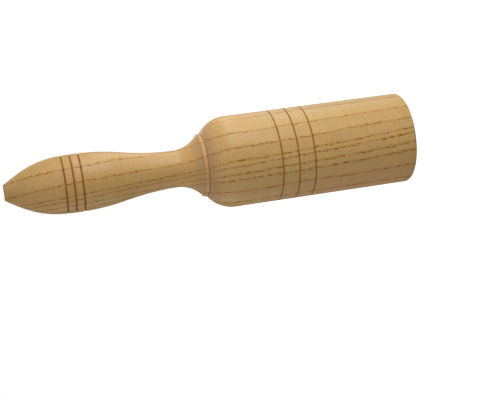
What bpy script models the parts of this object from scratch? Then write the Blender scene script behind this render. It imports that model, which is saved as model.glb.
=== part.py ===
"""Tone block: a hollow sound barrel and a handle, turned in line from one blank of ash.

The block stands on its open end. The origin is the middle of the rim's flat face, +Z runs
up through the barrel and the handle, and the sound slot is in the wall that faces +Y.
All lengths are in metres, and every height is measured from the rim unless it says otherwise.
"""

import math

import bmesh
import bpy
from mathutils import Matrix

# Barrel: a straight cylinder that rounds in at the shoulder.
BARREL_RADIUS = 0.0250
BARREL_LENGTH = 0.0999  # rim to the start of the shoulder
SHOULDER_RADIUS = 0.0180
RIM_ROUNDING = 0.0010

# Sound chamber, bored from the open end with a flat bit.
WALL = 0.0075
FLOOR_BELOW_SHOULDER = 0.0139
CHAMBER_CORNER = 0.0020
MOUTH_CHAMFER = 0.0008

# Sound slot, milled through the wall from the rim, with a round upper end.
SLOT_WIDTH = 0.0035
SLOT_END_BELOW_FLOOR = 0.0160

# Collar and cove: the rounded lip over the shoulder, and the hollow sweep down to the neck.
COLLAR_RADIUS = 0.01725
COLLAR_ROUNDING = 0.0024
CREASE_DEPTH = 0.00038  # how far in the crease lies from the collar's lip
CREASE_RISE = 0.00036  # how far up the lip lies from the crease
COVE_RADIUS = 0.0169
NECK_RADIUS = 0.0100

# Handle stations above the neck: the grip, the thickest place, the dome and the tip.
GRIP_ABOVE_NECK = 0.0296
GRIP_RADIUS = 0.0133
GRIP_SLOPE = 0.205  # change of radius for each metre of height
SWELL_ABOVE_GRIP = 0.0246
SWELL_RADIUS = 0.0156
DOME_ABOVE_SWELL = 0.0188
DOME_RADIUS = 0.01345
DOME_SLOPE = -0.29
TIP_ABOVE_DOME = 0.0180
TIP_RADIUS = 0.0044
TIP_SLOPE = -0.64
TIP_ROUNDING = 0.0007

# Turned and burnt rings: three round the barrel and three round the handle.
RING_COUNT = 3
BARREL_RING_BELOW_SHOULDER = 0.0236
BARREL_RING_PITCH = 0.0091
BARREL_RING_WIDTH = 0.0008
BARREL_RING_DEPTH = 0.00035
HANDLE_RING_BELOW_SWELL = 0.0032
HANDLE_RING_PITCH = 0.00455
HANDLE_RING_WIDTH = 0.0009
HANDLE_RING_DEPTH = 0.0005

# Fineness of the faceted solid.
TURNS = 60
CURVE_STEPS = 8
SMALL_STEPS = 3
MERGE = 0.00002
CUT_CLEARANCE = 0.0010  # how far a cutter runs past what it cuts

ASH_COLOUR = (0.60, 0.41, 0.20, 1.0)
ASH_ROUGHNESS = 0.45


def arc(radius, height, size, start, end, steps):
    """Points of an arc round (radius, height); an angle of 0 points away from the axis and 90 up."""
    points = []
    for step in range(steps + 1):
        angle = math.radians(start + (end - start) * step / steps)
        points.append((radius + size * math.cos(angle), height + size * math.sin(angle)))
    return points


def flowing(low, high, height):
    """Radius at a height between two stations, each (height, radius, slope), as a smooth cubic."""
    length = high[0] - low[0]
    t = (height - low[0]) / length
    from_low = low[1] * (2 * t**3 - 3 * t**2 + 1) + low[2] * length * (t**3 - 2 * t**2 + t)
    from_high = high[1] * (3 * t**2 - 2 * t**3) + high[2] * length * (t**3 - t**2)
    return from_low + from_high


def shoulder():
    """The shoulder's arc, from the crease down to the barrel, and the height of the crease."""
    middle = BARREL_RADIUS - SHOULDER_RADIUS
    crease_radius = COLLAR_RADIUS - CREASE_DEPTH
    lean = math.degrees(math.acos((crease_radius - middle) / SHOULDER_RADIUS))
    points = arc(middle, BARREL_LENGTH, SHOULDER_RADIUS, lean, 0, CURVE_STEPS)
    return points, points[0][1]


def collar(crease_height):
    """The cove and the collar's rounding, from the neck down to the crease, and the neck's height."""
    lift = (COLLAR_RADIUS - NECK_RADIUS) / (COVE_RADIUS + COLLAR_ROUNDING)
    slope = math.degrees(math.acos(1 - lift))
    lip_height = crease_height + CREASE_RISE
    neck_height = lip_height + (COVE_RADIUS + COLLAR_ROUNDING) * math.sin(math.radians(slope))
    cove = arc(NECK_RADIUS + COVE_RADIUS, neck_height, COVE_RADIUS, 180, 180 + slope, CURVE_STEPS)
    lip = arc(COLLAR_RADIUS - COLLAR_ROUNDING, lip_height, COLLAR_ROUNDING, slope, 0, SMALL_STEPS)
    return cove + lip[1:], neck_height


def handle_stations(neck_height):
    """(height, radius, slope) of the handle's stations, from the neck up to the tip."""
    grip = neck_height + GRIP_ABOVE_NECK
    swell = grip + SWELL_ABOVE_GRIP
    dome = swell + DOME_ABOVE_SWELL
    tip = dome + TIP_ABOVE_DOME
    return [
        (neck_height, NECK_RADIUS, 0.0),
        (grip, GRIP_RADIUS, GRIP_SLOPE),
        (swell, SWELL_RADIUS, 0.0),
        (dome, DOME_RADIUS, DOME_SLOPE),
        (tip, TIP_RADIUS, TIP_SLOPE),
    ]


def handle_radius(stations, height):
    for low, high in zip(stations, stations[1:]):
        if height <= high[0]:
            return flowing(low, high, height)
    return stations[-1][1]


def ringed(points, radius_at, first, pitch, width, depth):
    """Cuts the burnt rings into an outline that runs downwards. Each ring is a V of that width."""
    for ring in range(RING_COUNT):
        middle = first - ring * pitch
        low, high = middle - width / 2, middle + width / 2
        groove = [(radius_at(high), high), (radius_at(middle) - depth, middle), (radius_at(low), low)]
        above = [p for p in points if p[1] > high + MERGE]
        below = [p for p in points if p[1] < low - MERGE]
        points = above + groove + below
    return points


def handle(neck_height):
    """The handle's outline, from the middle of its end face down to the neck."""
    stations = handle_stations(neck_height)
    tip_height, tip_radius = stations[-1][:2]
    lean = math.degrees(math.atan(-TIP_SLOPE))
    inner = tip_radius - TIP_ROUNDING * math.cos(math.radians(lean))
    base = tip_height - TIP_ROUNDING * math.sin(math.radians(lean))
    points = [(0.0, base + TIP_ROUNDING)]
    points += arc(inner, base, TIP_ROUNDING, 90, lean, SMALL_STEPS)
    for high, low in zip(stations[:0:-1], stations[-2::-1]):
        for step in range(1, CURVE_STEPS + 1):
            height = high[0] + (low[0] - high[0]) * step / CURVE_STEPS
            points.append((flowing(low, high, height), height))
    swell_height = stations[2][0]
    first = swell_height - HANDLE_RING_BELOW_SWELL + (RING_COUNT - 1) * HANDLE_RING_PITCH
    return ringed(
        points,
        lambda height: handle_radius(stations, height),
        first,
        HANDLE_RING_PITCH,
        HANDLE_RING_WIDTH,
        HANDLE_RING_DEPTH,
    )


def barrel():
    """The barrel's outside, from below the shoulder down to the rim's flat face."""
    straight = ringed(
        [],
        lambda height: BARREL_RADIUS,
        BARREL_LENGTH - BARREL_RING_BELOW_SHOULDER,
        BARREL_RING_PITCH,
        BARREL_RING_WIDTH,
        BARREL_RING_DEPTH,
    )
    edge = arc(BARREL_RADIUS - RIM_ROUNDING, RIM_ROUNDING, RIM_ROUNDING, 0, -90, SMALL_STEPS)
    return straight + edge


def chamber_depth():
    return BARREL_LENGTH - FLOOR_BELOW_SHOULDER


def chamber():
    """The chamber's inside, from the chamfered mouth up to the middle of its floor."""
    radius = BARREL_RADIUS - WALL
    depth = chamber_depth()
    mouth = [(radius + MOUTH_CHAMFER, 0.0), (radius, MOUTH_CHAMFER)]
    corner = arc(radius - CHAMBER_CORNER, depth - CHAMBER_CORNER, CHAMBER_CORNER, 0, 90, SMALL_STEPS)
    return mouth + corner + [(0.0, depth)]


def outline():
    """The whole turned section, from the tip's middle down the outside and up the chamber."""
    shoulder_points, crease_height = shoulder()
    collar_points, neck_height = collar(crease_height)
    return handle(neck_height) + collar_points[1:] + shoulder_points + barrel() + chamber()


def new_object(name, data, collection):
    made = bpy.data.objects.new(name, data)
    collection.objects.link(made)
    return made


def turned(name, points, collection):
    """A solid of revolution: the outline as loose edges at +X, spun round Z by a Screw modifier."""
    mesh = bpy.data.meshes.new(name)
    edges = [(n, n + 1) for n in range(len(points) - 1)]
    mesh.from_pydata([(radius, 0.0, height) for radius, height in points], edges, [])
    made = new_object(name, mesh, collection)
    screw = made.modifiers.new("turning", "SCREW")
    screw.steps = screw.render_steps = TURNS
    screw.use_merge_vertices = True
    screw.merge_threshold = MERGE
    screw.use_smooth_shade = True
    return made


def slot_cutter(collection):
    """A flat bar with a round upper end, as deep as the wall, that stands at the back of the barrel."""
    half = SLOT_WIDTH / 2
    top = chamber_depth() - SLOT_END_BELOW_FLOOR
    bottom = -CUT_CLEARANCE
    round_end = [(x, z) for x, z in arc(0.0, top - half, half, 0, 180, CURVE_STEPS)]
    corners = [(half, bottom)] + round_end + [(-half, bottom)]
    curve = bpy.data.curves.new("slot_outline", "CURVE")
    curve.dimensions = "2D"
    curve.fill_mode = "BOTH"
    inner = (BARREL_RADIUS - WALL) / 2
    outer = BARREL_RADIUS + CUT_CLEARANCE
    curve.extrude = (outer - inner) / 2
    spline = curve.splines.new("POLY")
    spline.points.add(len(corners) - 1)
    for point, (x, z) in zip(spline.points, corners):
        point.co = (x, z, 0.0, 1.0)
    spline.use_cyclic_u = True
    flat = new_object("slot_outline", curve, collection)
    flat.matrix_world = Matrix.Translation((0.0, (inner + outer) / 2, 0.0)) @ Matrix.Rotation(
        math.pi / 2, 4, "X"
    )
    return as_cutter(flat, "slot_cutter", collection)


def as_cutter(shape, name, collection):
    """Makes a closed mesh of a filled curve, so that a Boolean can cut with it."""
    bpy.context.view_layer.update()
    graph = bpy.context.evaluated_depsgraph_get()
    mesh = bpy.data.meshes.new_from_object(shape.evaluated_get(graph))
    loose = bmesh.new()
    loose.from_mesh(mesh)
    bmesh.ops.remove_doubles(loose, verts=loose.verts, dist=MERGE)
    bmesh.ops.recalc_face_normals(loose, faces=loose.faces)
    loose.to_mesh(mesh)
    loose.free()
    cutter = new_object(name, mesh, collection)
    cutter.matrix_world = shape.matrix_world.copy()
    cutter.hide_render = True
    cutter.display_type = "WIRE"
    bpy.data.objects.remove(shape)
    return cutter


def ash():
    """Clear-lacquered ash, as one plain colour."""
    material = bpy.data.materials.new("ash")
    material.use_nodes = True
    shader = material.node_tree.nodes["Principled BSDF"]
    shader.inputs["Base Color"].default_value = ASH_COLOUR
    shader.inputs["Roughness"].default_value = ASH_ROUGHNESS
    shader.inputs["Metallic"].default_value = 0.0
    return material


def main():
    for old in list(bpy.data.objects):
        bpy.data.objects.remove(old)
    parts = bpy.data.collections.new("tone_block")
    cutters = bpy.data.collections.new("cutters")
    bpy.context.scene.collection.children.link(parts)
    bpy.context.scene.collection.children.link(cutters)

    block = turned("tone_block", outline(), parts)
    cut = block.modifiers.new("sound slot", "BOOLEAN")
    cut.operation = "DIFFERENCE"
    cut.solver = "EXACT"
    cut.object = slot_cutter(cutters)
    block.data.materials.append(ash())


main()
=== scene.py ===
# %% [markdown]
# A tone block is a small wooden sound maker, turned from one stick of wood: a hollow barrel to
# strike, and a handle in line with it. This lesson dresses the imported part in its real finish,
# which is ash under a thin clear lacquer, with burnt rings. The CAD part is the fixed frame. It is
# loaded first, and everything below is made in its place and at its size, in metres.

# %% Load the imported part
import math

import bpy
from mathutils import Matrix, Vector


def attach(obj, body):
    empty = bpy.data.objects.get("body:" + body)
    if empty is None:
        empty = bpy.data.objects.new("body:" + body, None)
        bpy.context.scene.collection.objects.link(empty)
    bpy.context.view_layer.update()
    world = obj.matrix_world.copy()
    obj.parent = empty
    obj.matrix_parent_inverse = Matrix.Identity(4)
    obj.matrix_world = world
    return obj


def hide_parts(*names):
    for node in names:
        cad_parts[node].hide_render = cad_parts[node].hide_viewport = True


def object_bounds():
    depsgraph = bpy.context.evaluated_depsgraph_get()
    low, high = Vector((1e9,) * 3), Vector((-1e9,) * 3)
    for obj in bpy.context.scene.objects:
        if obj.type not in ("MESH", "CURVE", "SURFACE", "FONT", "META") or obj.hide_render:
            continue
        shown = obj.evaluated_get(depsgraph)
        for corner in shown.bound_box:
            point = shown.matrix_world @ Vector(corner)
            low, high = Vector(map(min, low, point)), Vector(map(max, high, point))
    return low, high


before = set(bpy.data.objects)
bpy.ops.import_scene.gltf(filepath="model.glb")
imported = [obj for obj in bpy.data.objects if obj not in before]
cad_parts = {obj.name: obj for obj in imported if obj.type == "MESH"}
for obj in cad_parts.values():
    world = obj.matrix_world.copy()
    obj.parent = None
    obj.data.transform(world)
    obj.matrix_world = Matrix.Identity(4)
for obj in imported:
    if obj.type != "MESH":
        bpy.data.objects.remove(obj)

MM = 0.001
cad_low, cad_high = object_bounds()
print("CAD box in mm:", [round((b - a) / MM, 1) for a, b in zip(cad_low, cad_high)])

# %% [markdown]
# The block stands on its open rim, with the handle up, and its sound slot faces +Y. The barrel's
# radius is read from the frame, and the outline's full height is printed beside the frame's. The
# rest are the turner's own sizes, the same that the CAD part was turned to.

# %% Sizes of the barrel
BARREL_RADIUS = cad_high.x
BARREL_LENGTH = 99.9 * MM
SHOULDER_RADIUS = 18.0 * MM
RIM_ROUNDING = 1.0 * MM
WALL = 7.5 * MM
SOLID_TOP = 13.9 * MM
CHAMBER_RADIUS = BARREL_RADIUS - WALL
CHAMBER_DEPTH = BARREL_LENGTH - SOLID_TOP
CHAMBER_CORNER = 2.0 * MM
MOUTH_CHAMFER = 0.8 * MM
print("barrel radius in mm:", round(BARREL_RADIUS / MM, 2))

# %% Sizes of the collar and the handle
COLLAR_RADIUS = 17.25 * MM
COLLAR_ROUNDING = 2.4 * MM
CREASE_DEPTH = 0.38 * MM
CREASE_RISE = 0.36 * MM
COVE_RADIUS = 16.9 * MM
NECK_RADIUS = 10.0 * MM
GRIP = (29.6 * MM, 13.3 * MM, 0.205)  # height above the neck, radius, slope
SWELL = (54.2 * MM, 15.6 * MM, 0.0)
DOME = (73.0 * MM, 13.45 * MM, -0.29)
TIP = (91.0 * MM, 4.4 * MM, -0.64)
TIP_ROUNDING = 0.7 * MM
print("collar and neck across in mm:", 2 * COLLAR_RADIUS / MM, 2 * NECK_RADIUS / MM)

# %% Sizes of the rings
RINGS = 3
BARREL_RING = (0.8 * MM, 0.35 * MM)  # width, depth
BARREL_RING_DROP = 23.6 * MM
BARREL_RING_PITCH = 9.1 * MM
HANDLE_RING = (0.9 * MM, 0.5 * MM)
HANDLE_RING_DROP = 3.2 * MM
HANDLE_RING_PITCH = 4.55 * MM
BARREL_RINGS = [BARREL_LENGTH - BARREL_RING_DROP - BARREL_RING_PITCH * n for n in range(RINGS)]
print("barrel rings at mm:", [round(height / MM, 1) for height in BARREL_RINGS])

# %% [markdown]
# A turned form is one outline, spun round the lathe's axis. It could also be put together from
# cylinders and a stretched sphere, but each joint would show as a step in the light. So the outline
# is worked out here as the turner would draw it: arcs for the shoulder, the cove and the eased
# edges, and a flowing curve through a few stations for the handle. It has more points than the CAD
# part's, so that the light runs smoothly round it.

# %% Curves that the outline is made of
def arc(radius, height, size, start, end, steps):
    """Points of an arc round (radius, height); 0 degrees points away from the axis and 90 up."""
    angles = [math.radians(start + (end - start) * n / steps) for n in range(steps + 1)]
    return [(radius + size * math.cos(a), height + size * math.sin(a)) for a in angles]


def flowing(low, high, height):
    """Radius at a height between two stations, each (height, radius, slope)."""
    length = high[0] - low[0]
    t = (height - low[0]) / length
    from_low = low[1] * (2 * t**3 - 3 * t**2 + 1) + low[2] * length * (t**3 - 2 * t**2 + t)
    from_high = high[1] * (3 * t**2 - 2 * t**3) + high[2] * length * (t**3 - t**2)
    return from_low + from_high


print("middle of a 10 mm arc:", [round(c, 2) for c in arc(0.0, 0.0, 10.0, 0, 90, steps=2)[1]])

# %% The shoulder, the collar and the cove
def shoulder():
    middle = BARREL_RADIUS - SHOULDER_RADIUS
    lean = math.degrees(math.acos((COLLAR_RADIUS - CREASE_DEPTH - middle) / SHOULDER_RADIUS))
    return arc(middle, BARREL_LENGTH, SHOULDER_RADIUS, lean, 0, steps=28)


def collar(lip_height):
    """The cove and the collar's rounded lip, from the neck down to the crease."""
    lift = (COLLAR_RADIUS - NECK_RADIUS) / (COVE_RADIUS + COLLAR_ROUNDING)
    turn = math.degrees(math.acos(1 - lift))
    neck = lip_height + (COVE_RADIUS + COLLAR_ROUNDING) * math.sin(math.radians(turn))
    cove = arc(NECK_RADIUS + COVE_RADIUS, neck, COVE_RADIUS, 180, 180 + turn, steps=24)
    lip = arc(COLLAR_RADIUS - COLLAR_ROUNDING, lip_height, COLLAR_ROUNDING, turn, 0, steps=12)
    return cove + lip[1:]


shoulder_line = shoulder()
CREASE_HEIGHT = shoulder_line[0][1]
collar_line = collar(CREASE_HEIGHT + CREASE_RISE)
NECK_HEIGHT = collar_line[0][1]
LOWEST_HANDLE_RING = NECK_HEIGHT + SWELL[0] - HANDLE_RING_DROP
HANDLE_RINGS = [LOWEST_HANDLE_RING + HANDLE_RING_PITCH * n for n in reversed(range(RINGS))]
print("crease and neck at mm:", round(CREASE_HEIGHT / MM, 1), round(NECK_HEIGHT / MM, 1))

# %% [markdown]
# The rings were scored with the point of a skew chisel and burnt in with a wire. In section each
# is a V with a slightly rounded bottom, so it catches a crisp line of shade. A boolean with a thin
# ring would cut such a groove too, but it can leave slivers on a curved grip. The groove here is a
# dip in the outline, whose depth follows a formula, and the outline keeps its own curve on both
# sides of it.

# %% Rings as dips in the outline
GROOVE_ROUNDING = 0.2
GROOVE_STEPS = 10
GROOVE_MARGIN = 0.1 * MM


def ringed(points, radius_at, rings, size):
    """Cuts each ring into an outline that runs downwards; radius_at gives the uncut radius."""
    width, depth = size
    full = math.sqrt(1 + GROOVE_ROUNDING**2)
    for middle in rings:
        groove = []
        for n in range(GROOVE_STEPS + 1):
            t = 1 - 2 * n / GROOVE_STEPS
            share = (full - math.sqrt(t**2 + GROOVE_ROUNDING**2)) / (full - GROOVE_ROUNDING)
            height = middle + t * width / 2
            groove.append((radius_at(height) - depth * share, height))
        above = [p for p in points if p[1] > groove[0][1] + GROOVE_MARGIN]
        below = [p for p in points if p[1] < groove[-1][1] - GROOVE_MARGIN]
        points = above + groove + below
    return points


print("points in each groove:", GROOVE_STEPS + 1)

# %% The handle, from its tip down to the neck
HANDLE_STEPS = 90
TIP_STEPS = 4
NECK = (0.0, NECK_RADIUS, 0.0)
STATIONS = [(NECK_HEIGHT + rise, *rest) for rise, *rest in (NECK, GRIP, SWELL, DOME, TIP)]


def handle_radius(height):
    for low, high in zip(STATIONS, STATIONS[1:]):
        if height <= high[0]:
            return flowing(low, high, height)
    return STATIONS[-1][1]


def handle():
    lean = math.degrees(math.atan(-TIP[2]))
    inner = TIP[1] - TIP_ROUNDING * math.cos(math.radians(lean))
    base = STATIONS[-1][0] - TIP_ROUNDING * math.sin(math.radians(lean))
    face = [(inner * n / TIP_STEPS, base + TIP_ROUNDING) for n in range(TIP_STEPS)]
    points = face + arc(inner, base, TIP_ROUNDING, 90, lean, steps=6)
    top, bottom = STATIONS[-1][0], STATIONS[0][0]
    heights = [top + (bottom - top) * n / HANDLE_STEPS for n in range(1, HANDLE_STEPS + 1)]
    points += [(handle_radius(height), height) for height in heights]
    return ringed(points, handle_radius, HANDLE_RINGS, HANDLE_RING)


print("handle's rings at mm:", [round(height / MM, 1) for height in HANDLE_RINGS])

# %% The barrel, the rim and the chamber
BARREL_HEIGHTS = range(96, 2, -4)  # in millimetres, from the shoulder down to the rim
CHAMBER_STEPS = 12
FLOOR_SHARES = (0.8, 0.6, 0.4, 0.2, 0.0)


def barrel():
    spread = [(BARREL_RADIUS, height * MM) for height in BARREL_HEIGHTS]
    straight = ringed(spread, lambda height: BARREL_RADIUS, BARREL_RINGS, BARREL_RING)
    rim = arc(BARREL_RADIUS - RIM_ROUNDING, RIM_ROUNDING, RIM_ROUNDING, 0, -90, steps=8)
    return straight + rim


def chamber():
    corner = CHAMBER_CORNER
    mouth = [(CHAMBER_RADIUS + MOUTH_CHAMFER, 0.0), (CHAMBER_RADIUS, MOUTH_CHAMFER)]
    heights = [CHAMBER_DEPTH * n / CHAMBER_STEPS for n in range(1, CHAMBER_STEPS - 1)]
    wall = [(CHAMBER_RADIUS, height) for height in heights]
    bend = arc(CHAMBER_RADIUS - corner, CHAMBER_DEPTH - corner, corner, 0, 90, steps=8)
    floor = [(CHAMBER_RADIUS * share, CHAMBER_DEPTH) for share in FLOOR_SHARES]
    return mouth + wall + bend + floor


outline = handle() + collar_line[1:] + shoulder_line + barrel() + chamber()
print("points in the outline:", len(outline))
print("height in mm:", round(outline[0][1] / MM, 2), "CAD:", round(cad_high.z / MM, 2))

# %% [markdown]
# The outline is drawn as by hand: one vertex, extruded to each next point. Spin then turns it
# round the Z axis. The Screw modifier would do the same, but with Spin the mesh is there at once
# for the next cut. The seam and the two ends on the axis come out as doubled vertices, which are
# merged, and the normals are set to point out, so that the mesh is one closed solid.

# %% Turning the block
TURNS = 240
MERGE_DISTANCE = 0.002 * MM


def select_all(action):
    bpy.ops.mesh.select_all(action=action)


def turned(name, points):
    """One closed solid, spun round Z from an outline whose two ends lie on the axis."""
    bpy.ops.object.select_all(action="DESELECT")
    bpy.ops.mesh.primitive_plane_add(size=MM, location=(points[0][0], 0.0, points[0][1]))
    made = bpy.context.object
    made.name = made.data.name = name
    bpy.ops.object.mode_set(mode="EDIT")
    bpy.ops.mesh.merge(type="CENTER")
    for here, there in zip(points, points[1:]):
        step = (there[0] - here[0], 0.0, there[1] - here[1])
        bpy.ops.mesh.extrude_region_move(TRANSFORM_OT_translate={"value": step})
    select_all("SELECT")
    bpy.ops.mesh.spin(steps=TURNS, angle=math.tau, center=(0, 0, 0), axis=(0, 0, 1))
    select_all("SELECT")
    bpy.ops.mesh.remove_doubles(threshold=MERGE_DISTANCE)
    bpy.ops.mesh.normals_make_consistent(inside=False)
    bpy.ops.object.mode_set(mode="OBJECT")
    bpy.ops.object.transform_apply(location=True, rotation=True, scale=True)
    return made


block = turned("tone_block_turned", outline)
print("faces after the spin:", len(block.data.polygons))

# %% [markdown]
# The sound slot is milled through the barrel's back wall, from the rim up, and the round cutter
# leaves a round upper end. Its outer edges are eased with sandpaper. A box and a cylinder would cut
# the slot, but its edges would still have to be bevelled. This cutter does both at once. It is a
# disc whose lower half is drawn down past the rim. Its inner face is inset with a depth, which
# makes the eased edge, and then extruded through the wall into the chamber. The disc is turned by
# half a side, so that its top is a flat: a corner there would meet a column of the spin's
# vertices, and such a touch leaves faces of no area.

# %% Sizes of the slot
SLOT_WIDTH = 3.5 * MM
SLOT_TOP = CHAMBER_DEPTH - 16.0 * MM
SLOT_EASING = 0.35 * MM
CLEARANCE = 1.0 * MM
CUTTER_SIDES = 48
print("slot's length in mm:", round(SLOT_TOP / MM, 1))


# %% Selecting by place or by normal
def pick(elements, kind, wanted):
    """Leaves edit mode on, with only the vertices or faces selected for which wanted() is true."""
    bpy.ops.object.mode_set(mode="EDIT")
    bpy.ops.mesh.select_mode(type=kind)
    select_all("DESELECT")
    bpy.ops.object.mode_set(mode="OBJECT")
    picked = 0
    for element in elements:
        element.select = wanted(element)
        picked += element.select
    bpy.ops.object.mode_set(mode="EDIT")
    print("picked of kind", kind, ":", picked)


# %% The slot's cutter
def slot_cutter():
    """A disc on the outside of the back wall, drawn down past the rim and in to the chamber."""
    half = SLOT_WIDTH / 2
    outside = half + SLOT_EASING + CLEARANCE
    slope = outside - half
    middle = SLOT_TOP - half
    disc_middle = BARREL_RADIUS + 1.5 * CLEARANCE  # the inner face is one clearance off the wall
    half_side = math.pi / CUTTER_SIDES
    bpy.ops.object.select_all(action="DESELECT")
    bpy.ops.mesh.primitive_cylinder_add(
        vertices=CUTTER_SIDES,
        radius=outside / math.cos(half_side),
        depth=CLEARANCE,
        location=(0.0, disc_middle, middle),
        rotation=(math.pi / 2, half_side, 0.0),
    )
    cutter = bpy.context.object
    bpy.ops.object.transform_apply(location=True, rotation=True, scale=True)
    mesh = cutter.data
    pick(mesh.vertices, "VERT", lambda vertex: vertex.co.z < middle - 0.01 * MM)
    bpy.ops.transform.translate(value=(0.0, 0.0, -(middle + outside + CLEARANCE)))
    pick(mesh.polygons, "FACE", lambda face: face.normal.y < -0.9)
    bpy.ops.mesh.inset(thickness=slope, depth=-slope)
    reach = disc_middle - CLEARANCE / 2 - slope - CHAMBER_RADIUS / 2
    bpy.ops.mesh.extrude_region_move(TRANSFORM_OT_translate={"value": (0.0, -reach, 0.0)})
    select_all("SELECT")
    bpy.ops.mesh.normals_make_consistent(inside=False)
    bpy.ops.object.mode_set(mode="OBJECT")
    return cutter


# %% Cutting the slot
SMOOTH_BELOW = math.radians(28)


def cut(piece, cutter):
    """Takes the cutter's shape out of the piece, and then the cutter out of the scene."""
    bpy.ops.object.select_all(action="DESELECT")
    bpy.context.view_layer.objects.active = piece
    piece.select_set(True)
    boolean = piece.modifiers.new("slot", "BOOLEAN")
    boolean.operation = "DIFFERENCE"
    boolean.solver = "EXACT"
    boolean.object = cutter
    bpy.ops.object.modifier_apply(modifier=boolean.name)
    bpy.data.objects.remove(cutter)


cut(block, slot_cutter())
bpy.ops.object.shade_smooth_by_angle(angle=SMOOTH_BELOW)
print("faces with the slot:", len(block.data.polygons))

# %% [markdown]
# Ash is ring-porous. Each year starts with a band of wide pores, and where the lathe cuts through
# one, the pores open as broken brown dashes along the grain. A picture of wood could be wrapped
# round the block, but it would smear on the shoulder and break at the rim. Wood is a solid, so its
# pattern is worked out in space, from the Object coordinates: the same growth rings then run over
# the barrel, the shoulder and the handle, and show as lines of end grain on the rim. Shader maths
# is written as Python, through a class that wraps a socket.

# %% A socket that can be used in sums
class Wire:
    """One output of a node, in a bench that holds the node tree."""

    def __init__(self, bench, socket):
        self.bench = bench
        self.socket = socket

    def maths(self, operation, *others):
        sockets = dict(enumerate((self, *others)))
        return self.bench.add("ShaderNodeMath", {"operation": operation}, sockets)

    def __add__(self, other):
        return self.maths("ADD", other)

    def __sub__(self, other):
        return self.maths("SUBTRACT", other)

    def __rsub__(self, other):
        return (self * -1.0) + other

    def __mul__(self, other):
        return self.maths("MULTIPLY", other)

    def __truediv__(self, other):
        return self.maths("DIVIDE", other)

    def __pow__(self, other):
        return self.maths("POWER", other)

    __radd__ = __add__
    __rmul__ = __mul__

    def size(self):
        return self.maths("ABSOLUTE")

    def least(self, other):
        return self.maths("MINIMUM", other)

    def most(self, other):
        return self.maths("MAXIMUM", other)

    def above(self, edge):
        return self.maths("GREATER_THAN", edge)

    def rising(self, low, high):
        """0 below low, 1 above high and smooth between. With low above high it falls instead."""
        settings = {"interpolation_type": "SMOOTHSTEP"}
        sockets = {0: self, 1: low, 2: high, 3: 0.0, 4: 1.0}
        return self.bench.add("ShaderNodeMapRange", settings, sockets)

    def between(self, at_zero, at_one):
        """The same pattern, from one number to another instead of from 0 to 1."""
        return self * (at_one - at_zero) + at_zero


# %% A bench that adds nodes
class Bench:
    """The nodes of a material or of the world. add() is the one way in which nodes come in."""

    def __init__(self, owner):
        self.owner = owner
        owner.use_nodes = True
        self.tree = owner.node_tree
        self.tree.nodes.clear()

    def add(self, kind, settings=None, sockets=None, output=0):
        """Gives one output of the new node, or the node itself where output is None."""
        node = self.tree.nodes.new(kind)
        for name, value in (settings or {}).items():
            setattr(node, name, value)
        for name, value in (sockets or {}).items():
            if isinstance(value, Wire):
                self.tree.links.new(value.socket, node.inputs[name])
            else:
                node.inputs[name].default_value = value
        if output is None:
            return node
        return Wire(self, node.outputs[output])

    def vector(self, x, y, z):
        return self.add("ShaderNodeCombineXYZ", sockets={0: x, 1: y, 2: z})

    def noise(self, place, detail=0.0, roughness=0.5):
        """Smooth noise from 0 to 1, one blotch for each unit of the place."""
        sockets = {"Vector": place, "Scale": 1.0, "Detail": detail, "Roughness": roughness}
        return self.add("ShaderNodeTexNoise", sockets=sockets)

    def blend(self, share, below, over, kind="MIX"):
        """Mixes two colours. The share is a wire or a number."""
        settings = {"data_type": "RGBA", "blend_type": kind}
        return self.add("ShaderNodeMix", settings, {0: share, 6: below, 7: over}, output=2)


ash = Bench(bpy.data.materials.new("ash"))
print("the bench starts with", len(ash.tree.nodes), "nodes")

# %% [markdown]
# First the growth rings. Each is a nearly flat sheet that faces +X, and the sheets drift as they
# rise: towards the rim they bow up by a few millimetres, and towards the handle they sink. The
# distances are the ones seen on this blank, whose years were very unlike: wide ones above and
# narrow ones below the middle. They are in millimetres, because pores and rings are that small.

# %% Where a point lies on the block
place = ash.add("ShaderNodeTexCoord", output="Object")
split = ash.add("ShaderNodeSeparateXYZ", sockets={0: place}, output=None)
x, y, z = [Wire(ash, split.outputs[n]) * (1 / MM) for n in range(3)]
axis_distance = (x * x + y * y) ** 0.5


def streaks(across, along, **kind):
    """Noise in blotches that are so many millimetres across and so many long, up the tree."""
    return ash.noise(ash.vector(x / across, y / across, z / along), **kind)


print("nodes for a point's place:", len(ash.tree.nodes))

# %% Where in the tree that point lies
BOW_AT_RIM = 5.1
BOW_ENDS = 92.0
BOW_GROWTH = 1.3
BOW_CENTRE = 4.0
BOW_SPREAD = 16.0
SINK_START = 104.0
SINK_RATE = 0.058
SINK_MORE = 0.018
SINK_MORE_BELOW = (2.0, -5.0)
LEAN = 0.2
LEAN_CENTRE = -6.0
LEAN_SPREAD = 8.0
LEAN_STARTS = -24.0
WAVERS = ((9.0, 26.0, 1.1), (1.8, 5.0, 0.75), (1.1, 1.5, 0.7))  # across, along, how far


def tree_distance():
    """How far out in the tree a point lies, in millimetres from the block's own middle plane."""
    off_centre = (x - BOW_CENTRE) / BOW_SPREAD
    swell = (off_centre * off_centre * -1.0).maths("EXPONENT")
    towards_rim = ((BOW_ENDS - z) / BOW_ENDS).most(0.0) ** BOW_GROWTH
    sink = (z - SINK_START).most(0.0) * (SINK_RATE + SINK_MORE * x.rising(*SINK_MORE_BELOW))
    drift = sink - swell * towards_rim * BOW_AT_RIM
    lean = ((x - LEAN_CENTRE) / LEAN_SPREAD).most(-1.0).least(1.0) * LEAN * (y - LEAN_STARTS)
    found = x + drift + lean
    for across, along, reach in WAVERS:
        found = found + (streaks(across, along) - 0.5) * reach
    return found


distance = tree_distance()
print("nodes with the place in the tree:", len(ash.tree.nodes))

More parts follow.
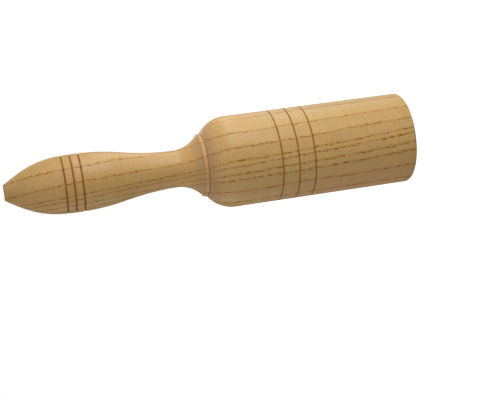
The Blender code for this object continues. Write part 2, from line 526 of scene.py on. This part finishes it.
# %% The growth rings
RING_EDGES = (
    -49, -42, -36, -31.5, -25.4, -17.9, -11.0, -7.8, -3.7, -1.0, 6.0, 14.6, 24.1, 32, 37, 45,
)
FAR = 1000.0


def since_ring():
    """Millimetres from the last ring edge outwards. An edge further out counts as far away."""
    nearest = None
    for edge in RING_EDGES:
        beyond = distance - edge
        beyond = beyond + (beyond * -1.0).above(0.0) * FAR
        nearest = beyond if nearest is None else nearest.least(beyond)
    return nearest


ring_depth = since_ring()
print("growth rings across the blank:", len(RING_EDGES))

# %% [markdown]
# Pores are thin tubes that run up the tree. Noise that is stretched along Z gives them: about
# 0.6 mm across and 2 mm long, and less where the noise has finer detail in it. They are strong in
# the band that opens each ring, and a sprinkle of smaller ones is left for the late wood. The
# fibres between them are the same noise, far longer and much fainter.

# %% Pores
BAND = (1.45, 0.45)  # millimetres into a ring where its wide pores end, and where they thin out
PORE_OPENS = (0.48, 0.56)
RUN_FADES = (0.34, 0.60)
WEAK_RUN = 0.5
OUTER_YEARS = (26.0, 10.0)
WEAK_YEAR = 0.45
LATE_PORE_OPENS = (0.66, 0.78)
LATE_PORES = 0.35
pore_noise = streaks(across=0.62, along=2.2, detail=2.0, roughness=0.6)
band = ring_depth.rising(*BAND)
by_run = streaks(across=4.0, along=9.0).rising(*RUN_FADES).between(WEAK_RUN, 1.0)
by_year = distance.rising(*OUTER_YEARS).between(WEAK_YEAR, 1.0)
pores = band * pore_noise.rising(*PORE_OPENS) * by_run * by_year
late_pores = streaks(across=0.30, along=1.6).rising(*LATE_PORE_OPENS) * LATE_PORES
print("nodes with the pores:", len(ash.tree.nodes))

# %% Fibres, flecks and broad tone
LATE_WOOD = (2.0, 7.0)  # millimetres into a ring where it starts, and where it is full
fibres = streaks(across=0.55, along=12.0, detail=2.0)
flecks = streaks(across=0.7, along=1.0, detail=1.0, roughness=0.7)
broad = streaks(across=9.0, along=60.0, detail=1.0)
late_wood = ring_depth.rising(*LATE_WOOD)
print("nodes with the fibres:", len(ash.tree.nodes))

# %% [markdown]
# Then what the turner did. Fine scratches run round the block where it was sanded on the lathe.
# The rings are burnt brown, a little unevenly. Wood that is cut across its fibres, on the shoulder,
# the cove, the dome and the rim, drinks more lacquer and looks darker and redder, and its colour
# there also holds painted shade and a pale painted sheen for the light on these slopes. The chamber
# was bored and left bare. Each of these could have its own material, with faces given to it, but
# its edge would follow the mesh. A mask by height or by distance from the axis can fade out
# anywhere.

# %% Lathe marks, the bare chamber and the end grain
SCRATCH = 0.85
BARE_WALL = CHAMBER_RADIUS / MM + 0.05
BARE_WALL_FADE = 0.4
BARE_FLOOR = CHAMBER_DEPTH / MM + 0.1
BARE_FLOOR_FADE = 0.5
ACROSS_FIBRES = (0.05, 0.9)
lathe = ash.noise(ash.vector(z / SCRATCH, axis_distance / SCRATCH, 3.0), detail=2.0)
past_wall = axis_distance.rising(BARE_WALL, BARE_WALL + BARE_WALL_FADE)
outside = past_wall.most(z.rising(BARE_FLOOR, BARE_FLOOR + BARE_FLOOR_FADE))
facing = ash.add("ShaderNodeTexCoord", output="Normal")
facing_up = ash.add("ShaderNodeSeparateXYZ", sockets={0: facing}, output=2)
end_grain = (facing_up * facing_up).rising(*ACROSS_FIBRES)
print("bare out to mm:", round(BARE_WALL, 2), "and up to mm:", round(BARE_FLOOR, 2))

# %% The burnt rings
BURN_EDGE = 0.2
BURN_SPREAD = 0.02
CREASE_LIFT = 0.05 * MM
CREASE_HALF = 0.2
BURN_RANGE = (0.72, 1.17)
SKIN = BARREL_RADIUS / MM - 0.9  # the burn stays out here, off the side walls of the slot
SKIN_FADE = 0.4


def burnt(height, half_width):
    """1 in a ring at that height and 0 past its edge. The half width is in millimetres."""
    return (z - height / MM).size().rising(half_width + BURN_EDGE, half_width - BURN_EDGE)


all_rings = [(height, BARREL_RING[0]) for height in BARREL_RINGS]
all_rings += [(height, HANDLE_RING[0]) for height in HANDLE_RINGS]
rings = None
for ring_height, width in all_rings:
    ring = burnt(ring_height, width / MM / 2 + BURN_SPREAD)
    rings = ring if rings is None else rings.most(ring)
patchy = streaks(across=3.0, along=1.0, detail=1.0)
in_skin = axis_distance.rising(SKIN, SKIN + SKIN_FADE).most(z.above(BARREL_LENGTH / MM))
rings = rings * in_skin * patchy.between(*BURN_RANGE).least(1.0)
# The crease between the collar's lip and the shoulder is darkened too: partly a darker tint, partly
# painted shade in the V.
crease_tint_and_shade = burnt(CREASE_HEIGHT + CREASE_LIFT, CREASE_HALF) * outside
print("rings burnt:", len(all_rings))

# %% [markdown]
# The colours come together from the palest to the darkest: straw, its broad change of tone, the
# fibres, the brown of a ring's first pores, the pores themselves and the burnt rings. Each is
# mixed over the last, as glaze is. On the barrel, the +X side, which the lamps light, gets a paler
# painted sheen, and the -X side, in shade, a pinker and darker painted shade.

# %% Colours of the wood
def paint(red, green, blue):
    """A colour as it is read off a screen, 0 to 255, in the linear values that shaders use."""
    values = [c / 255 for c in (red, green, blue)]
    return (*[c / 12.92 if c <= 0.04045 else ((c + 0.055) / 1.055) ** 2.4 for c in values], 1.0)


STRAW = paint(228, 187, 118)
HONEY = paint(224, 180, 110)
LATE = paint(210, 166, 106)
# Darker for end grain, and also painted shade with a pale painted sheen on the slopes that face
# along the axis.
END_GRAIN_SHADE_AND_SHEEN = paint(205, 161, 134)
BAND_BROWN = paint(206, 138, 44)
PORE_BROWN = paint(168, 90, 10)
# The colour of the burnt rings, also used for the crease's darker tint and painted shade.
BURNT_AND_CREASE_SHADE = paint(164, 100, 34)
BARE = paint(214, 178, 126)
# Painted sheen and painted shade: a paler colour for the barrel's lit +X side, a pinker one for its
# -X side.
PAINTED_SHEEN_PALE = paint(227, 192, 137)
PAINTED_SHADE_PINK = paint(223, 175, 118)
print("straw in linear values:", [round(c, 3) for c in STRAW[:3]])

# %% Broad colour, from the middle of the block outwards
TONE_MIDDLE = 110.0
TONE_LENGTH = 250.0
HONEY_STARTS = (0.30, 0.70)
LATE_SHARE = 0.35
PAINTED_SHEEN_OUT = (15.0, 23.0)  # millimetres in the tree, and in the next pair along the block
PAINTED_SHEEN_DOWN = (95.0, 75.0)
PAINTED_SHADE_IN = (-11.0, -21.0)
PAINTED_SHADE_DOWN = (122.0, 52.0)
END_GRAIN_SHADE_SHARE = 0.68
along_block = (z - TONE_MIDDLE) / TONE_LENGTH
# Painted sheen on the barrel's +X side and painted shade on its -X side, both fading out towards
# the shoulder.
painted_sheen_side = distance.rising(*PAINTED_SHEEN_OUT) * z.rising(*PAINTED_SHEEN_DOWN)
painted_shade_side = distance.rising(*PAINTED_SHADE_IN) * z.rising(*PAINTED_SHADE_DOWN)
colour = ash.blend((broad + along_block).rising(*HONEY_STARTS), STRAW, HONEY)
colour = ash.blend(late_wood * LATE_SHARE, colour, LATE)
colour = ash.blend(painted_sheen_side, colour, PAINTED_SHEEN_PALE)
colour = ash.blend(painted_shade_side, colour, PAINTED_SHADE_PINK)
# End grain is darker; this colour also paints the shade and the pale sheen that the light gives the
# shoulder, cove, dome and rim.
colour = ash.blend(end_grain * END_GRAIN_SHADE_SHARE, colour, END_GRAIN_SHADE_AND_SHEEN)
print("nodes with the broad colour:", len(ash.tree.nodes))

# %% Fine tone, pores and rings over it
FIBRE_TONE = (0.88, 1.12)
FLECK_TONE = (0.84, 1.16)
SCRATCH_TONE = (0.24, 0.69)  # on side grain and on end grain, as in the next three
BAND_SHARE = (0.34, 0.14)
LATE_PORE_SHARE = (1.0, 2.6)
PORE_SHARE = (0.92, 0.62)
BARE_SHARE = 0.5
CREASE_TINT_AND_SHADE_SHARE = 0.6
RING_SHARE = 0.85
fibre_tone = fibres.between(*FIBRE_TONE)
fleck_tone = flecks.between(*FLECK_TONE)
lathe_tone = 1.0 + (lathe - 0.5) * end_grain.between(*SCRATCH_TONE)
tone = fibre_tone * lathe_tone * fleck_tone
colour = ash.blend(1.0, colour, ash.vector(tone, tone, tone), kind="MULTIPLY")
colour = ash.blend(band * end_grain.between(*BAND_SHARE), colour, BAND_BROWN)
sprinkle = late_pores * outside * end_grain.between(*LATE_PORE_SHARE)
colour = ash.blend(sprinkle, colour, BAND_BROWN)
colour = ash.blend((1.0 - outside) * BARE_SHARE, colour, BARE)
colour = ash.blend(pores * end_grain.between(*PORE_SHARE), colour, PORE_BROWN)
# Painted shade in the crease, with some darker tint.
colour = ash.blend(crease_tint_and_shade * CREASE_TINT_AND_SHADE_SHARE, colour, BURNT_AND_CREASE_SHADE)
colour = ash.blend(rings * RING_SHARE, colour, BURNT_AND_CREASE_SHADE)
print("nodes with all colours:", len(ash.tree.nodes))

# %% [markdown]
# The lacquer is thin and satin. It could be a second skin of clear varnish round the wood, but so
# thin a film shows only in its sheen, and the shader's own coat gives that. There is none in the
# bore. The pores stay slightly open under it, so the bump has them as dents, with the lathe's
# scratches and the fibres far shallower.

# %% Sheen
SATIN = 0.56
FIBRE_ROUGHER = 0.10
PORE_ROUGHER = 0.18
RING_ROUGHER = 0.2
BARE_ROUGHER = 0.25
COAT_SHARE = (0.45, 0.33)  # on side grain and on end grain
COAT_IN_PORES = 0.3
roughness = SATIN + (fibres - 0.5) * FIBRE_ROUGHER + pores * PORE_ROUGHER
roughness = roughness + rings * RING_ROUGHER + (1.0 - outside) * BARE_ROUGHER
coat = outside * end_grain.between(*COAT_SHARE) * pores.between(1.0, COAT_IN_PORES)
print("nodes with the sheen:", len(ash.tree.nodes))

# %% Relief, and the finished surface
PORE_DEPTH = 1.2
BURN_DEPTH = 0.6
SCRATCH_HEIGHT = 0.25
RELIEF = 0.08 * MM
relief = (lathe + fibres) * SCRATCH_HEIGHT - pores * PORE_DEPTH - patchy * rings * BURN_DEPTH
bump = ash.add("ShaderNodeBump", sockets={"Strength": 0.35, "Distance": RELIEF, "Height": relief})
surface = ash.add(
    "ShaderNodeBsdfPrincipled",
    sockets={
        "Base Color": colour,
        "Roughness": roughness,
        "Coat Weight": coat,
        "Coat Roughness": 0.33,
        "Specular IOR Level": 0.18,
        "Normal": bump,
    },
)
ash.add("ShaderNodeOutputMaterial", sockets={"Surface": surface}, output=None)
block.data.materials.clear()
block.data.materials.append(ash.owner)
print("nodes in the ash:", len(ash.tree.nodes))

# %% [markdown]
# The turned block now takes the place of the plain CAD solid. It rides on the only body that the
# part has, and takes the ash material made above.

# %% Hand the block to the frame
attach(block, "root")
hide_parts("tone_block")
print("materials on the block:", [material.name for material in block.data.materials])

# %% [markdown]
# The stage is a wide pale floor, on which the block stands. White paint under strong lamps would
# make it white in the picture, but it would also bleach the wood from below. The floor itself is
# therefore a plain grey, which throws little light back. What the camera sees of it glows up to
# white and still takes the block's shadow. Only the disc under the barrel doesn't glow, because it
# would show as a white notch at the lower end of the slot.

# %% The floor
FLOOR_SIZE = 60.0
FLOOR_GREY = 0.36
FLOOR_GLOW = 0.97
DARK_DISC = BARREL_RADIUS - 0.5 * MM


def grey(level):
    return (level, level, level, 1.0)


bpy.ops.object.select_all(action="DESELECT")
bpy.ops.mesh.primitive_plane_add(size=FLOOR_SIZE, location=(0.0, 0.0, cad_low.z))
floor = bpy.context.object
floor.name = "floor"
print("floor in metres across:", FLOOR_SIZE)

# %% The floor's finish
pale = Bench(bpy.data.materials.new("pale_floor"))
on_floor = pale.add("ShaderNodeTexCoord", output="Object")
from_axis = pale.add("ShaderNodeVectorMath", {"operation": "LENGTH"}, {0: on_floor}, output="Value")
seen = pale.add("ShaderNodeLightPath", output="Is Camera Ray")
glow = pale.add("ShaderNodeEmission", sockets={"Strength": FLOOR_GLOW})
matt = pale.add("ShaderNodeBsdfDiffuse", sockets={"Color": grey(FLOOR_GREY)})
both = pale.add("ShaderNodeAddShader", sockets={0: glow, 1: matt})
glowing = seen * from_axis.above(DARK_DISC)
shown = pale.add("ShaderNodeMixShader", sockets={0: glowing, 1: matt, 2: both})
pale.add("ShaderNodeOutputMaterial", sockets={"Surface": shown}, output=None)
floor.data.materials.append(pale.owner)
print("nodes in the floor:", len(pale.tree.nodes))

# %% [markdown]
# The camera looks down on the standing block from the side and is turned a quarter round, so that
# the handle points to the left of the picture. Its place, its aim and the direction that is up in
# the picture are enough to place it.

# %% The camera
CAMERA_PLACE = Vector((0.0, -0.6064, 0.2347))
CAMERA_AIM = Vector((-0.0228, 0.0063, 0.0899))
PICTURE_UP = Vector((0.98957, 0.00281, -0.14402))
LENS = 81.76
SENSOR = 36.0


def facing_matrix(position, target, up_hint):
    back = (position - target).normalized()
    right = up_hint.cross(back).normalized()
    up = back.cross(right)
    return Matrix.Translation(position) @ Matrix((right, up, back)).transposed().to_4x4()


bpy.ops.object.camera_add()
camera = bpy.context.object
camera.matrix_world = facing_matrix(CAMERA_PLACE, CAMERA_AIM, PICTURE_UP)
camera.data.sensor_width = SENSOR
camera.data.lens = LENS
bpy.context.scene.camera = camera
print("camera is", round((CAMERA_PLACE - CAMERA_AIM).length, 3), "m from its aim")

# %% [markdown]
# The light is that of a product table, with soft boxes all round the block. A sun lamp would be
# simpler, but its hard shade doesn't suit a satin finish. The camera lies on its side, so the +X
# side of the block is the upper side in the picture. Three boxes light it from there, three weaker
# ones stand on the -X side, a small one gives the soft glint on the shoulder and the cove, and one
# lights the back. The world adds an even grey from all round. It is a little brighter for glossy
# rays, because lacquer mirrors a pale studio, and it is white for the camera.

# %% The soft boxes
WHITE = (1.0, 1.0, 1.0)
WARM = (1.0, 0.94, 0.86)
UPRIGHT = Vector((0.0, 0.0, 1.0))


def soft_box(name, position, aim_height, width, height, power, tint=WHITE):
    """A box that is aimed at a point on the block's axis, at a height in metres."""
    bpy.ops.object.light_add(type="AREA")
    lamp = bpy.context.object
    lamp.name = name
    lamp.data.shape = "RECTANGLE"
    lamp.data.size = width
    lamp.data.size_y = height
    lamp.data.energy = power
    lamp.data.color = tint
    lamp.matrix_world = facing_matrix(Vector(position), Vector((0.0, 0.0, aim_height)), UPRIGHT)
    return lamp


# Name, place, height of the aim, width, height, watts and tint
lamps = [
    soft_box("key", (0.39, -0.17, 0.07), 0.07, 0.4, 0.12, 0.83),
    soft_box("near", (0.33, -0.36, 0.04), 0.06, 0.3, 0.2, 0.42),
    soft_box("edge", (0.38, 0.18, 0.055), 0.055, 0.3, 0.1, 0.3),
    soft_box("fill", (-0.54, -0.31, 0.12), 0.13, 0.3, 0.2, 0.28),
    soft_box("top", (-0.50, -0.36, 0.75), 0.11, 0.3, 0.26, 0.28, WARM),
    soft_box("low", (-0.42, 0.10, 0.10), 0.09, 0.3, 0.3, 0.32),
    soft_box("glint", (0.24, -0.55, 0.56), 0.12, 0.12, 0.12, 0.4),
    soft_box("back", (0.05, 0.62, 0.25), 0.11, 0.4, 0.3, 1.3),
]
print("soft boxes:", len(lamps), "and watts in all:", round(sum(b.data.energy for b in lamps), 2))

# %% The world
WORLD_GREY = 0.265
WORLD_MIRRORED = 0.35
studio = bpy.data.worlds.new("studio")
bpy.context.scene.world = studio
air = Bench(studio)
ray = air.add("ShaderNodeLightPath", output=None)
for_camera = Wire(air, ray.outputs["Is Camera Ray"]) * (1.0 - WORLD_GREY)
for_mirror = Wire(air, ray.outputs["Is Glossy Ray"]) * (WORLD_MIRRORED - WORLD_GREY)
strength = WORLD_GREY + for_camera + for_mirror
sky = air.add("ShaderNodeBackground", sockets={"Color": grey(1.0), "Strength": strength})
air.add("ShaderNodeOutputWorld", sockets={"Surface": sky}, output=None)
bpy.context.scene.view_settings.view_transform = "Standard"
print("nodes in the world:", len(air.tree.nodes))
